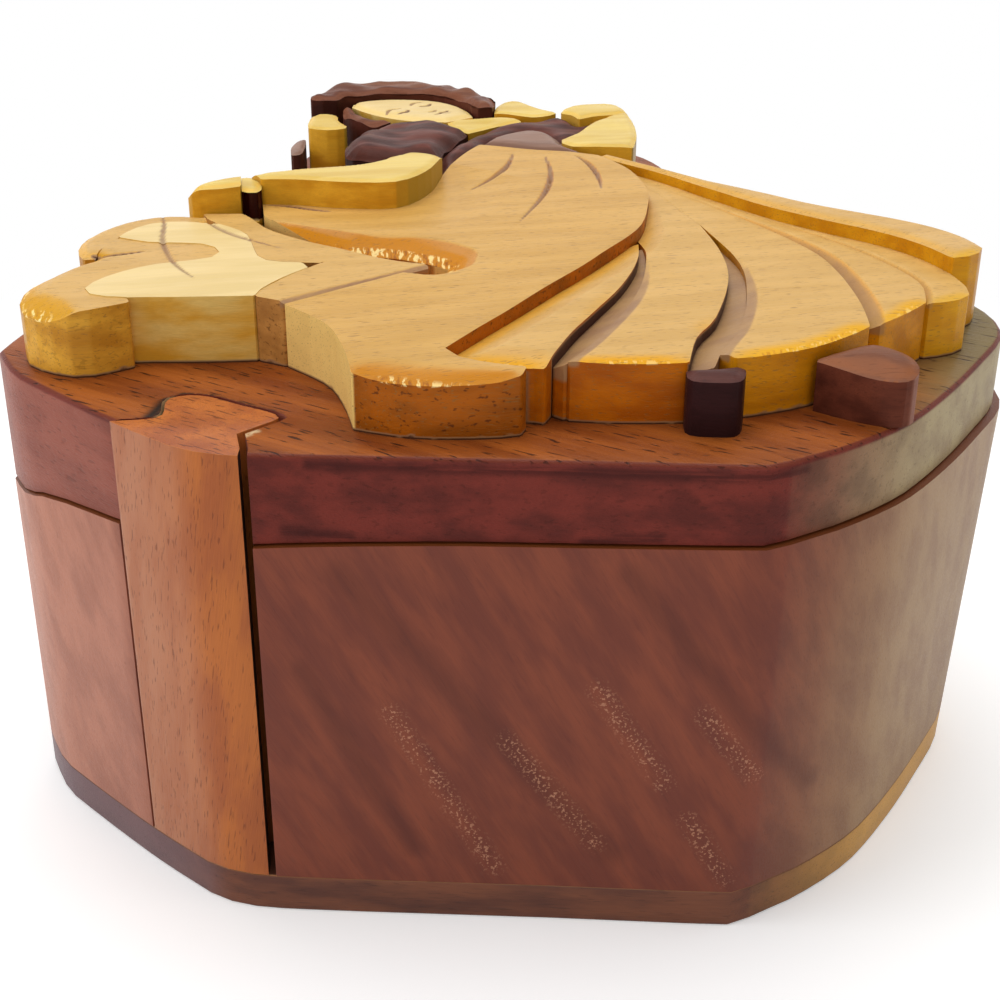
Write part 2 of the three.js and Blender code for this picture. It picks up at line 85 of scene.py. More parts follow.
def editWhole(piece, operate, **settings):  # one operator on all of a piece, in edit mode
    only(piece)
    bpy.ops.object.mode_set(mode="EDIT")
    bpy.ops.mesh.select_all(action="SELECT")
    operate(**settings)
    bpy.ops.object.mode_set(mode="OBJECT")


def weldedCopy(node, name):
    piece = bpy.data.objects.new(name, nodes[node].data.copy())
    bpy.context.scene.collection.objects.link(piece)
    piece.data.materials.clear()
    editWhole(piece, bpy.ops.mesh.remove_doubles, threshold=0.01 * mm)
    return piece


def placeOf(piece):
    points = np.empty(len(piece.data.vertices) * 3, dtype=np.float32)
    piece.data.vertices.foreach_get("co", points)
    return points.reshape(-1, 3).astype(float)


def setPlace(piece, points):
    piece.data.vertices.foreach_set("co", points.astype(np.float32).ravel())
    piece.data.update()


def refine(piece, voxel):
    grid = piece.modifiers.new("grid", "REMESH")
    grid.mode = "VOXEL"
    grid.voxel_size = voxel * mm
    applyAll(piece)


def cutLevel(piece, height, **cleared):  # the cut is closed by a flat face
    plane = {"plane_co": (0, 0, height), "plane_no": (0, 0, 1)}
    editWhole(piece, bpy.ops.mesh.bisect, **plane, use_fill=True, **cleared)


def blankFrom(node, name):  # the sawn outline of a node as a plain board, a little too deep below
    sliceHeight, below = 1 * mm, 1.5 * mm
    piece = weldedCopy(node, name)
    low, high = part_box(node)
    cutLevel(piece, low.z + sliceHeight, clear_outer=True)
    points = placeOf(piece)
    points[:, 2] = np.where(points[:, 2] > low.z + sliceHeight / 2, high.z, low.z - below)
    setPlace(piece, points)
    return piece


def finished(piece, node, finish):  # stands for the CAD node and rides on its body
    piece.data.materials.clear()
    piece.data.materials.append(finish)
    body = nodes[node]["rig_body"]
    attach(piece, body)
    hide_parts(node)
    return piece


# measuring against the CAD walls

upright = 0.3  # the z of a normal: under this a face is a wall
level = 0.98  # and over this it is a top


def topLine(node):  # the node's top as climb and height of a line along y
    mesh = nodes[node].data
    ends = [mesh.vertices[v].co for face in mesh.polygons if face.normal.z > level for v in face.vertices]
    return np.polyfit([p.y for p in ends], [p.z for p in ends], 1)


def wallsOf(node, keep=lambda centre: True):
    mesh = nodes[node].data
    walls = [face for face in mesh.polygons if abs(face.normal.z) < upright and keep(face.center)]
    if not walls:
        return None
    return BVHTree.FromPolygons([v.co for v in mesh.vertices], [face.vertices[:] for face in walls])


def rimAt(points, walls):  # in plan: how far in mm the nearest wall is, which way it faces and where it is
    found = [walls.find_nearest(Vector((x, y, rimLevel))) for x, y, _ in points]
    away = np.array([gap for _, _, _, gap in found]) / mm
    facing = np.array([normal[:2] for _, normal, _, _ in found])
    return away, facing, np.array([spot[:2] for spot, _, _, _ in found])


def ease(value, start, end):
    share = np.clip((value - start) / (end - start), 0, 1)
    return share * share * (3 - 2 * share)


def curveThrough(points, steps=8):  # smooth, and through every one of them
    ends = np.array([points[0], *points, points[-1]], float)
    line = []
    for a, b, c, d in zip(ends, ends[1:], ends[2:], ends[3:]):
        for t in np.linspace(0, 1, steps, endpoint=False):
            line.append(0.5 * (2 * b + (c - a) * t + (2 * a - 5 * b + 4 * c - d) * t * t
                               + (3 * b - 3 * c + d - a) * t ** 3))
    return np.array([*line, ends[-1]])


def lineDistance(points, line):  # in mm, and how far along the line the nearest place is
    plan = points[:, :2] / mm + (tracedShift, 0)
    best = np.full(len(plan), np.inf)
    along = np.zeros(len(plan))
    for i, (a, b) in enumerate(zip(line, line[1:])):
        edge = b - a
        share = np.clip(((plan - a) @ edge) / (edge @ edge), 0, 1)
        gap = np.linalg.norm(plan - a - share[:, None] * edge, axis=1)
        nearer = gap < best
        best[nearer] = gap[nearer]
        along[nearer] = ((i + share) / (len(line) - 1))[nearer]
    return best, along


seedSteps = (3.7, 1.9, 5.3)


def unevenness(points, size, seed):  # smooth noise from -1 to 1 with features of that size in mm
    offset = Vector([seed * step for step in seedSteps])
    return np.array([noise.noise(Vector(p) / (size * mm) + offset) for p in points])


def facingShare(points, walls, towards, within, blur):  # 1 where the rim faces that way, fading out along it
    cell, margin, reach = 0.5, 4 * blur, 3 * blur  # of a grid in mm that the share is blurred on
    low = points[:, :2].min(0) / mm - margin
    count = np.ceil((points[:, :2].max(0) / mm + margin - low) / cell).astype(int) + 2
    grid = [start + cell * np.arange(n) for start, n in zip(low, count)]
    across, along = np.meshgrid(*grid, indexing="ij")
    spots = np.stack([across.ravel(), along.ravel(), 0 * along.ravel()], 1) * mm
    share = ease(rimAt(spots, walls)[1] @ towards, *within).reshape(count)
    weight = np.exp(-0.5 * (np.arange(-reach, reach + cell, cell) / blur) ** 2)
    for axis in (0, 1):
        share = np.apply_along_axis(np.convolve, axis, share, weight / weight.sum(), mode="same")
    where = (points[:, :2] / mm - low) / cell
    i, j = where.astype(int).T
    a, b = (where - where.astype(int)).T
    return (share[i, j] * (1 - a) * (1 - b) + share[i + 1, j] * a * (1 - b)
            + share[i, j + 1] * (1 - a) * b + share[i + 1, j + 1] * a * b)


# carving: each step says how far in mm the wood is taken down, how dark it gets from scorching and painted
# shade and how much painted orange-gold highlight it gets, and the plain settings hold where a piece, a broad
# round, a slope or a line says nothing else

plainPiece = {
    "voxel": 0.3, "lift": 0, "even": False, "round": (0.35, 0.25), "lump": 9, "wobble": 0.1, "flush": [],
    "broad": [], "slopes": [], "lines": [], "dark": {},
}
plainBroad = {"within": (0.5, 0.8), "blur": 1.2, "amberHighlight": 4}
plainSlope = {"back": 0, "burnAndShade": 0.5, "amberHighlight": 0}
plainLine = {"taper": 0.6}
# painted contact shadow: a dark ragged line along the foot of each piece, where it stands on the lid
footShadow = {"high": 0.22, "fade": 0.2, "waves": 1.2, "seed": 3, "burnAndShade": 0.9}
swell = 0.14  # mm that each piece grows by, so that the sawn joints look closed
crease = 44  # degrees
# mm over which the painted shade in a recess beside a neighbour fades out
shadeFade = 0.2
slopeWhole = 0.4  # how far along its neighbour, from the front, a slope is still whole
bluntEnd = 0.02  # the share of a line at each end that gets no thinner
leastWidth = 0.01
voxelsOff = {"top": 0.6, "rim": 0.7, "front": 1.5}  # how far off a mesh point of each can be, in voxels
under = {  # how many mm down a colour starts and ends
    "slope": (0.6, 0.2), "groove": (3, 2.6), "amberHighlight": (0.5, 0.15), "dark": (0.1, 0.35),
}
shares = {  # where a colour starts and ends across a slope, a line or the front of a hole
    "slopeBurnAndShade": (0, 0.3), "slopeHighlight": (0.2, 0.7), "lineBurnAndShade": (0, 0.5), "lineEnds": (0.15, 0.4),
    "front": (0.2, 0.6),
}


def nearTop(points, top, lower, depths):  # 1 near the top, fading out downwards between two depths
    return ease(points[:, 2], *[top - (lower + depth) * mm for depth in depths])


def rounding(points, node, look):  # along all rims but those set flush against a neighbour
    flush = [wallsOf(other) for other in look["flush"]]
    touching = 0.5 * mm

    def free(centre):
        spot = Vector((centre.x, centre.y, rimLevel))
        return all(walls.find_nearest(spot)[3] > touching for walls in flush)

    walls = wallsOf(node, free)
    if not walls:
        return np.zeros(len(points)), np.zeros(len(points))
    away = rimAt(points, walls)[0]
    width, depth = [np.full(len(points), size, float) for size in look["round"]]
    flat = np.zeros(len(points))
    amberHighlight = np.zeros(len(points))
    for broad in look["broad"]:
        broad = {**plainBroad, **broad}
        towards = np.array(broad["facing"]) / np.linalg.norm(broad["facing"])
        near = facingShare(points, walls, towards, broad["within"], broad["blur"])
        width += (broad["width"] - width) * near
        depth += (broad["depth"] - depth) * near
        flat += (broad["flat"] - flat) * near
        # painted highlight: rims that face the broad round's way light up orange-gold near their edge
        amberHighlight = np.maximum(amberHighlight, near * (1 - ease(away, 0, broad["amberHighlight"])))
    left = 1 - np.clip(away / width, 0, 1)
    return depth * (flat * left + (1 - flat) * (1 - np.sqrt(1 - left ** 2))), amberHighlight


def slopeBeside(points, top, slope):  # down towards a neighbour, fading out towards the back
    slope = {**plainSlope, **slope}
    low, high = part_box(slope["beside"])
    whole = low.y * (1 - slopeWhole) + high.y * slopeWhole
    reach = ease(points[:, 1], high.y + slope["back"] * mm, whole)
    width = np.maximum(slope["width"] * reach, leastWidth)
    left = 1 - np.clip(rimAt(points, wallsOf(slope["beside"]))[0] / width, 0, 1)
    upper = nearTop(points, top, slope["depth"], under["slope"])
    # the slope's darkening is partly scorched colour and partly painted shade, and its orange-gold share is
    # painted highlight
    burnAndShade = slope["burnAndShade"] * ease(left, *shares["slopeBurnAndShade"]) * reach * upper
    return slope["depth"] * reach * left, burnAndShade, slope["amberHighlight"] * ease(left, *shares["slopeHighlight"]) * reach


def scoredLine(points, line):  # a v cut, or with a depth under 0 a soft ridge, thin at its ends
    line = {**plainLine, **line}
    gap, along = lineDistance(points, curveThrough(line["points"]))
    taper = np.sin(np.pi * np.clip(along, bluntEnd, 1 - bluntEnd)) ** line["taper"]
    near = np.clip(1 - gap / (line["width"] * taper), 0, 1)
    profile = near if line["depth"] > 0 else ease(near, 0, 1)
    # the line's dark colour is partly scorched colour and partly painted shade in the cut
    burnAndShade = line["burnAndShade"] * ease(near, *shares["lineBurnAndShade"]) * ease(taper, *shares["lineEnds"])
    return line["depth"] * taper * profile, burnAndShade


def grooveRamp(points, top, node, ramp):  # from deep at the left neighbour up to shallow at the right one; its darkening is painted shade in the groove, darkest along the deep left side
    tiny = 1e-6
    here, there = [rimAt(points, wallsOf(other))[0] for other in ramp["between"]]
    share = here / (here + there + tiny)
    low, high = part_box(node)
    deep = ramp["deep"] * ease(points[:, 1], high.y, low.y) + ramp["even"]
    left = 1 - np.clip((share - ramp["floor"]) / (1 - ramp["floor"]), 0, 1)
    burnAndShade = (1 - ramp["bare"] * ease(share, 0, ramp["burntAndShaded"])) * nearTop(points, top, 0, under["groove"])
    return ramp["shallow"] + (deep - ramp["shallow"]) * left, burnAndShade


def insideHole(points, top, hole):  # from a height above the lid to a depth under the top; it darkens the hole with painted shade
    above, fade = hole["above"], hole["fade"]
    inside = ease(points[:, 2], lidTop + above * mm, lidTop + (above + fade) * mm)
    return inside * (1 - nearTop(points, top, hole["under"], (fade, 0)))


def carve(node, look):
    look = {**plainPiece, **look}
    voxel = look["voxel"]
    piece = blankFrom(node, node + "_shaped")
    refine(piece, voxel)
    points = placeOf(piece)
    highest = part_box(node)[1].z
    climb, height = topLine(node)
    top = (highest if look["even"] else climb * points[:, 1] + height) + look["lift"] * mm
    topmost = points[:, 2] > highest - voxelsOff["top"] * voxel * mm
    moved = points[:, 2] + (top - highest) * ease(points[:, 2], lidTop, highest)
    points[:, 2] = np.where(topmost, top, moved)
    away, facing, wall = rimAt(points, wallsOf(node))
    rim = away < voxelsOff["rim"] * voxel
    points[rim, :2] = (wall + facing * swell * mm)[rim]

    drop, amberHighlight = rounding(points, node, look)
    burnAndShade = np.zeros(len(points))
    for slope in look["slopes"]:
        lower, burntAndShaded, highlightShare = slopeBeside(points, top, slope)
        drop = np.maximum(drop, lower)
        burnAndShade = np.maximum(burnAndShade, burntAndShaded)
        amberHighlight = np.maximum(amberHighlight, highlightShare)
    for line in look["lines"]:
        lower, burntAndShaded = scoredLine(points, line)
        drop = drop + lower
        burnAndShade = np.maximum(burnAndShade, burntAndShaded)
    if "ramp" in look:
        drop, burnAndShade = grooveRamp(points, top, node, look["ramp"])
    drop = drop + look["wobble"] * (1 + unevenness(points, look["lump"], len(node)))

    # painted contact shadow at the foot of the piece
    foot = (unevenness(points, footShadow["waves"], footShadow["seed"]) + 1) * footShadow["high"] * mm
    inFootShadow = 1 - ease(points[:, 2] - lidTop, foot, foot + footShadow["fade"] * mm)
    burnAndShade = np.maximum(burnAndShade, footShadow["burnAndShade"] * inFootShadow)
    # painted shade inside a hole, whose front wall is also pushed back
    if "hole" in look:
        inside = insideHole(points, top, look["hole"])
        burnAndShade = np.maximum(burnAndShade, inside)
        front = ease(-facing[:, 1], *shares["front"]) * (away < voxelsOff["front"] * voxel)
        points[:, 1] += look["hole"]["deep"] * mm * inside * front
    # painted shade in the recess beside each listed neighbour, on the walls below the top
    for other, reach in look["dark"].items():
        beside = 1 - ease(rimAt(points, wallsOf(other))[0], reach - shadeFade, reach)
        below = top - drop * mm - points[:, 2]
        burnAndShade = np.maximum(burnAndShade, beside * ease(below, *[depth * mm for depth in under["dark"]]))
    points[:, 2] = np.minimum(points[:, 2], top - drop * mm)
    amberHighlight = amberHighlight * nearTop(points, top, drop, under["amberHighlight"])

    setPlace(piece, points)
    for name, values in (("burnAndShade", burnAndShade), ("amberHighlight", amberHighlight)):
        attribute = piece.data.attributes.new(name, "FLOAT", "POINT")
        attribute.data.foreach_set("value", values.astype(np.float32))
    cutLevel(piece, lidTop, clear_inner=True)
    bpy.ops.object.shade_smooth_by_angle(angle=math.radians(crease))
    return finished(piece, node, look["finish"])


# shader nodes

def colour(code):  # a screen colour as linear light
    parts = [int(code[i:i + 2], 16) / 255 for i in (0, 2, 4)]
    return (*[p / 12.92 if p <= 0.04045 else ((p + 0.055) / 1.055) ** 2.4 for p in parts], 1)


class Shading:
    def __init__(self, owner):
        owner.use_nodes = True
        self.tree = owner.node_tree

    def add(self, kind, **settings):
        node = self.tree.nodes.new(kind)
        for key, value in settings.items():
            setattr(node, key, value)
        return node

    def feed(self, socket, value):  # another node's result, a colour code or plain numbers
        if isinstance(value, bpy.types.NodeSocket):
            self.tree.links.new(value, socket)
        else:
            socket.default_value = colour(value) if isinstance(value, str) else value

    def fed(self, node, values):
        for key, value in values.items():
            self.feed(node.inputs[key], value)
        return node

    def split(self, vector):
        return self.fed(self.add("ShaderNodeSeparateXYZ"), {0: vector}).outputs

    def turned(self, place, degrees):
        turns = [math.radians(angle) for angle in degrees]
        return self.fed(self.add("ShaderNodeMapping"), {"Rotation": turns, "Vector": place}).outputs[0]

    def noise(self, place, scale, detail, rough):  # the scale is in features per mm
        perMetre = [number / mm for number in scale]
        stretch = self.fed(self.add("ShaderNodeMapping"), {"Scale": perMetre, "Vector": place}).outputs[0]
        settings = {"Scale": 1, "Detail": detail, "Roughness": rough, "Vector": stretch}
        return self.fed(self.add("ShaderNodeTexNoise"), settings).outputs["Fac"]

    def vector(self, how, a, b, out="Vector"):
        return self.fed(self.add("ShaderNodeVectorMath", operation=how), {0: a, 1: b}).outputs[out]

    def sum(self, how, a, b, **settings):
        return self.fed(self.add("ShaderNodeMath", operation=how, **settings), {0: a, 1: b}).outputs[0]

    def span(self, value, low, high, start=0, end=1):
        node = self.add("ShaderNodeMapRange", interpolation_type="SMOOTHSTEP")
        numbers = {"From Min": low, "From Max": high, "To Min": start, "To Max": end}
        return self.fed(node, {**numbers, "Value": value}).outputs[0]

    def mix(self, share, a, b):
        return self.fed(self.add("ShaderNodeMix", data_type="RGBA"), {0: share, 6: a, 7: b}).outputs[2]

    def blend(self, share, shaders):  # shaders by their place in the node, 1 or 2
        return self.fed(self.add("ShaderNodeMixShader"), {0: share, **shaders}).outputs[0]

    # mm from a line whose ends are (x, y) above, on a top, or else (x, z) on the front
    def gapTo(self, place, start, end, above):
        start, end = [(p[0], p[1], 0) if above else (p[0], 0, p[1]) for p in (start, end)]
        seen = (1, 1, 0) if above else (1, 0, 1)
        edge = tuple(b - a for a, b in zip(start, end))
        size = sum(side ** 2 for side in edge)
        flat = self.vector("MULTIPLY", place, tuple(side / mm for side in seen))
        here = self.vector("SUBTRACT", flat, start)
        share = self.sum("DIVIDE", self.vector("DOT_PRODUCT", here, edge, "Value"), size, use_clamp=True)
        foot = self.fed(self.add("ShaderNodeVectorMath", operation="SCALE"), {0: edge, "Scale": share})
        return self.vector("LENGTH", self.vector("SUBTRACT", here, foot.outputs[0]), (0, 0, 0), "Value")


# wood finishes: colours, shares from 0 to 1, sizes in mm and turns in degrees

plainWood = {
    "turn": (0, 0, 0), "figure": (40, 5), "poreScale": (0.45, 4.5, 4.5), "pores": 0.5, "streaks": 0.35,
    "mottled": 0.1, "gloss": 0.4, "shine": 0.2, "coat": 0.1, "relief": 0.35, "marks": [],
}
scales = {  # features per mm, with the grain and across it
    "streaks": (0.02, 1.1, 1.1), "fibres": (0.1, 6, 6), "blotch": (0.06, 0.25, 0.25), "specks": (0.9, 2, 2),
}
fades = {  # the noise, slant or x at which a share starts and ends, and the share at both
    "figure": (0.36, 0.64, 0, 1), "streaks": (0.42, 0.68, 0, 1), "fibres": (0.3, 0.7, 0.06, 0),
    "pores": (0.62, 0.7, 0, 1), "quiet": (0.4, 0.9, 0, 1), "patchy": (0.3, 0.7, 0.75, 1),
    "highlightShare": (0.05, 0.85, 0, 1), "rightTop": (0.036, 0.058, 0, 1), "blotch": (0.35, 0.65, 0, 1),
    "wallFibres": (0.3, 0.7, 0.12, 0), "specks": (0.58, 0.68, 0, 1), "highlightEdge": (0.05, 0.4, 0, 1),
    "edge": (0.35, 0.8, 0, 1), "left": (-0.35, -0.8, 0, 1), "right": (0.4, 0.85, 0, 1),
    "leftOutside": (-0.02, -0.024, 0, 1), "rightOutside": (0.02, 0.024, 0, 1), "steep": (0.5, 0.2, 0, 1),
    "mottled": (0.35, 0.7, 0, 1), "gap": (0.8, 0.93, 0, 1), "topPores": (0.6, 0.68, 0, 0.8),
    "top": (0.86, 0.975, 0, 1), "glints": (0.85, 0.98, 0, 1), "ridges": (0.53, 0.61, 0, 1),
    "valleys": (0.44, 0.34, 0, 0.7), "raw": (0.3, 0.6, 0, 1), "markedTop": (0.8, 0.95, 0, 1),
    "worn": (0.3, 0.7, 0, 1), "carved": (0, 0.5, 0, 0.85), "burntAndShaded": (0.55, 1, 0, 1),
}
glintTint = "ffe9a0"
bareEdge = 0.5  # how much of the pale wood shows on a carved piece's rim without the painted orange-gold highlight
wornIn = 0.25
coatRoughness = 0.22
glossSpread = (-0.05, 0.08)
bumpDepth = 0.12 * mm
topPoreTurn = 32  # degrees about z


class Wood(Shading):
    def __init__(self, name, look):
        self.material = bpy.data.materials.new(name)
        super().__init__(self.material)
        self.look = {**plainWood, **look}
        self.place = self.add("ShaderNodeTexCoord").outputs["Object"]
        self.normal = self.split(self.add("ShaderNodeNewGeometry").outputs["Normal"])
        self.grain = self.turned(self.place, self.look["turn"])  # x runs with the grain
        self.streaks = self.noise(self.grain, scales["streaks"], detail=3, rough=0.6)
        self.fibres = self.noise(self.grain, scales["fibres"], detail=2, rough=0.6)
        pores = self.noise(self.grain, self.look["poreScale"], detail=1, rough=0.5)
        self.poreShare = self.fade(pores, "pores", end=self.look["pores"])
        if "quiet" in self.look:  # fewer pores on the walls than on top
            upwards = self.fade(self.normal["Z"], "quiet", start=self.look["quiet"])
            self.poreShare = self.both(self.poreShare, upwards)
        if "carved" in self.look:
            # painted highlight: how strongly each point of a carved piece's rims is lit orange-gold
            self.highlightShare = self.add("ShaderNodeAttribute", attribute_name="amberHighlight").outputs["Fac"]

    def fade(self, value, name, start=None, end=None):  # a look may set the share at either end
        low, high, *ends = fades[name]
        start = ends[0] if start is None else start
        end = ends[1] if end is None else end
        return self.span(value, low, high, start, end)

    def both(self, a, b):  # where two shares hold at once
        return self.sum("MULTIPLY", a, b)

    def tops(self):
        look = self.look
        length, band = look["figure"]
        figure = self.noise(self.grain, (1 / length, 1 / band, 1 / band), detail=4, rough=0.55)
        base = self.mix(self.fade(figure, "figure"), look["dark"], look["pale"])
        base = self.mix(self.fade(self.streaks, "streaks", end=look["streaks"]), base, look["dark"])
        base = self.mix(self.fade(self.fibres, "fibres"), base, look["pore"])
        if "carved" in look:
            # painted highlight on the tops near the rims, patchy along the streaks
            highlightShare = self.both(self.highlightShare, self.fade(self.streaks, "patchy"))
            base = self.mix(self.fade(highlightShare, "highlightShare"), base, look["edge"])
        if "rightTop" in look:
            base = self.mix(self.fade(self.split(self.place)["X"], "rightTop"), base, look["rightTop"])
        return base

    def walls(self):
        look = self.look
        self.blotch = self.noise(self.grain, scales["blotch"], detail=3, rough=0.6)
        wall = self.mix(self.fade(self.blotch, "blotch"), look["wall"], look.get("wallDark", look["wall"]))
        wall = self.mix(self.fade(self.fibres, "wallFibres"), wall, look["pore"])
        if "wallPores" in look:
            specks = self.noise(self.grain, scales["specks"], detail=2, rough=0.6)
            wall = self.mix(self.fade(specks, "specks", end=look["wallPores"]), wall, look["wallPore"])
        edge = look["edge"]
        if "carved" in look:
            # painted highlight: rims turn orange-gold where the highlight share is high, else partly pale
            # wood
            plainEdge = self.mix(bareEdge, look["wall"], look["pale"])
            edge = self.mix(self.fade(self.highlightShare, "highlightEdge"), plainEdge, edge)
        base = self.mix(self.fade(self.normal["Z"], "edge"), wall, edge)
        for side in ("left", "right"):
            if side in look:
                base = self.sideTint(base, side)
        if "gap" in look:  # painted shade in the saw gap along the key's right side: its walls facing right turn near black
            base = self.mix(self.fade(self.normal["X"], "gap"), base, look["gap"])
        return base

    def sideTint(self, base, side):  # light from the left and the right tints the walls that face it
        look = self.look
        facing = self.fade(self.normal["X"], side)
        if "outside" in look:
            facing = self.both(facing, self.fade(self.split(self.place)["X"], side + "Outside"))
        mottled = self.fade(self.blotch, "mottled", end=look["mottled"])
        tint = self.mix(mottled, look[side], look["wallDark"])
        return self.mix(self.both(facing, self.fade(self.normal["Z"], "steep")), base, tint)

    def glinted(self, base):  # painted highlights and painted dark spots of shade on the glossiest rims
        ridges = self.noise(self.place, self.look["glints"], detail=2, rough=0.5)
        where = self.fade(self.highlightShare, "glints")
        base = self.mix(self.both(where, self.fade(ridges, "valleys")), base, self.look["wallDark"])
        bright = self.both(where, self.fade(ridges, "ridges", end=self.look["glintShare"]))
        return self.mix(bright, base, glintTint)

    def marked(self, base, line):
        near = self.span(self.gapTo(self.place, *line["ends"], line["above"]), line["width"], 0)
        if line["above"]:
            near = self.both(near, self.fade(self.normal["Z"], "markedTop"))
        dots = self.span(self.noise(self.place, line["grain"], detail=2, rough=0.6), *line["dots"])
        return self.mix(self.both(self.both(near, dots), line["share"]), base, line["tint"])

    def carvedAndShaded(self, base):  # bare carved wood and, further up the attribute, near-black scorched wood and painted shade: contact shadows at the feet and shade in holes, notches, grooves and recesses
        look = self.look
        burnAndShade = self.add("ShaderNodeAttribute", attribute_name="burnAndShade").outputs["Fac"]
        worn = self.mix(self.fade(self.blotch, "worn"), look["carved"], look["pale"])
        base = self.mix(self.fade(burnAndShade, "carved"), base, self.mix(wornIn, look["carved"], worn))
        return self.mix(self.fade(burnAndShade, "burntAndShaded"), base, look["burntAndShaded"])

    def colours(self):
        look = self.look
        base = self.tops()
        if "wall" in look:
            tops = base
            if "topPores" in look:
                crossways = self.turned(self.place, (0, 0, topPoreTurn))
                holes = self.noise(crossways, look["topPores"], detail=1, rough=0.5)
                tops = self.mix(self.fade(holes, "topPores"), tops, look["pore"])
            base = self.mix(self.fade(self.normal["Z"], "top"), self.walls(), tops)
        if "glints" in look:
            base = self.glinted(base)
        if "raw" in look:
            base = self.mix(self.fade(self.normal["Z"], "raw"), base, look["raw"])
        base = self.mix(self.poreShare, base, look["pore"])
        for line in look["marks"]:
            base = self.marked(base, line)
        return self.carvedAndShaded(base) if "carved" in look else base

    def finish(self):
        look = self.look
        gloss = [look["gloss"] + step for step in glossSpread]
        bump = self.fed(self.add("ShaderNodeBump"), {
            "Strength": look["relief"], "Distance": bumpDepth,
            "Height": self.sum("SUBTRACT", self.fibres, self.poreShare),
        })
        self.fed(self.tree.nodes["Principled BSDF"], {
            "Base Color": self.colours(), "Specular IOR Level": look["shine"],
            "Roughness": self.fade(self.fibres, "fibres", *gloss), "Coat Weight": look["coat"],
            "Coat Roughness": coatRoughness, "Normal": bump.outputs[0],
        })
        return self.material


def wood(name, look):
    return Wood(name, look).finish()


# marks on the wood, in mm: from place to place, how wide and of which grain
knob = [
    (-39.4, -61.5), (-38.2, -60.2), (-38.5, -56.2), (-36.8, -54.7), (-34, -55), (-30.3, -57.3),
    (-26.4, -59.6), (-25.2, -61.2),
]
sawMark = {
    "above": True, "width": 1.1, "tint": "1a0a05", "share": 1, "grain": (2, 2, 0.1), "dots": (0.34, 0.5),
}
sawMarks = [
    {**sawMark, "ends": [(x - tracedShift, y + 0.1) for x, y in ends]}
    for ends in zip(knob, knob[1:])
]
chip = {"above": True, "grain": (1.5, 1.5, 1.5)}
chips = [
    {**chip, "ends": ((-40.7, -61.2), (-39.9, -57)), "width": 1.5, "tint": "180a06", "share": 1,
     "dots": (0.2, 0.3)},
    {**chip, "ends": ((-29.6, -66.4), (-28.4, -65)), "width": 0.8, "tint": "ccb48c", "share": 0.8,
     "dots": (0.3, 0.45)},
]
speckBand = {
    "above": False, "width": 2, "tint": "c89070", "share": 0.6, "grain": (3, 3, 3), "dots": (0.56, 0.62),
}
speckBands = [
    {**speckBand, "ends": ends}
    for ends in (((-14.1, 28.6), (-2.6, 7.6)), ((-0.9, 25.3), (9.1, 11.6)), ((9.1, 32.4), (16.8, 20.3)),
                 ((21.1, 29.5), (27, 21.4)), ((19.9, 15.1), (24.4, 7.1)))
]
darkBand = {"above": False, "tint": "4c2018", "share": 0.45, "grain": (0.05, 0.05, 0.05), "dots": (0.1, 0.3)}
darkBands = [
    {**darkBand, "ends": ((-19.2, 46.1), (10.9, 10.1)), "width": 3},
    {**darkBand, "ends": ((12, 47), (34, 18)), "width": 2.6},
    {**darkBand, "ends": ((-24, 34), (-12, 10)), "width": 2.4},
]
lidStreak = {
    "above": False, "width": 1.1, "tint": "3a1412", "share": 0.7, "grain": (0.08, 0.08, 1.6),
    "dots": (0.3, 0.55),
}
lidStreaks = [
    {**lidStreak, "ends": ends}
    for ends in (((-25, 51.2), (-18, 50.6)), ((7, 50.8), (15, 51.4)), ((-22, 58.9), (30, 58.7)))
]

mahogany = wood("mahogany", {
    "pale": "84422c", "dark": "6e3425", "pore": "4a221a", "turn": (0, -60, 0), "figure": (34, 6),
    "streaks": 0.3, "pores": 0.15, "wall": "84422c", "wallDark": "703627", "edge": "5c3020",
    "left": "b87a62", "right": "a88660", "mottled": 0.32, "outside": True, "raw": "6e3818", "gloss": 0.42,
    "marks": darkBands + speckBands,
})
# the key's gap colour is painted shade in the saw gap at its right side
keyWood = wood("key_wood", {
    "pale": "b8682e", "dark": "9c5228", "pore": "5a2812", "turn": (0, 80, 0), "figure": (60, 5),
    "wall": "b8682e", "wallDark": "a4582c", "edge": "b06a34", "left": "b27a5e", "gap": "140806",
    "topPores": (0.35, 2.6, 2.6), "mottled": 0.5,
})
lidWood = wood("lid_wood", {
    "pale": "9c5420", "dark": "783a14", "pore": "2e1208", "turn": (0, 0, 32), "pores": 0.9,
    "poreScale": (0.3, 2.2, 2.2), "wall": "783128", "wallDark": "5c2620", "edge": "6a2e1e", "left": "9a5a4a",
    "right": "b09c74", "rightTop": "7c6a40", "mottled": 0.3, "quiet": 0.25, "gloss": 0.38, "relief": 0.7,
    "shine": 0.08, "coat": 0.05, "marks": lidStreaks + sawMarks + chips,
})
baseWood = wood("base_wood", {
    "pale": "7c4a34", "dark": "5c382c", "pore": "34201a", "turn": (0, 0, 5), "figure": (30, 8), "pores": 0.3,
    "wall": "7c4a34", "wallDark": "5e382c", "edge": "94643c", "left": "745c60", "right": "d8a250",
})
honey = {
    "pale": "d3a862", "dark": "c99e58", "pore": "8a6434", "turn": (0, 0, -12), "figure": (26, 4),
    "poreScale": (0.7, 5, 5), "streaks": 0.22, "wall": "b05c08", "wallDark": "8c4804", "edge": "cc8a0c",
    "carved": "8c6850", "burntAndShaded": "34100a", "glints": (1.9, 0.5, 1.2), "glintShare": 0.35, "gloss": 0.34,
    "shine": 0.08, "coat": 0.04,
}
mainWood = wood("honey_wood", {
    **honey, "pale": "d0a258", "dark": "c4964c", "edge": "c07a08", "left": "ecc878", "wallPores": 0.7,
    "wallPore": "48200c", "glintShare": 0.7,
})
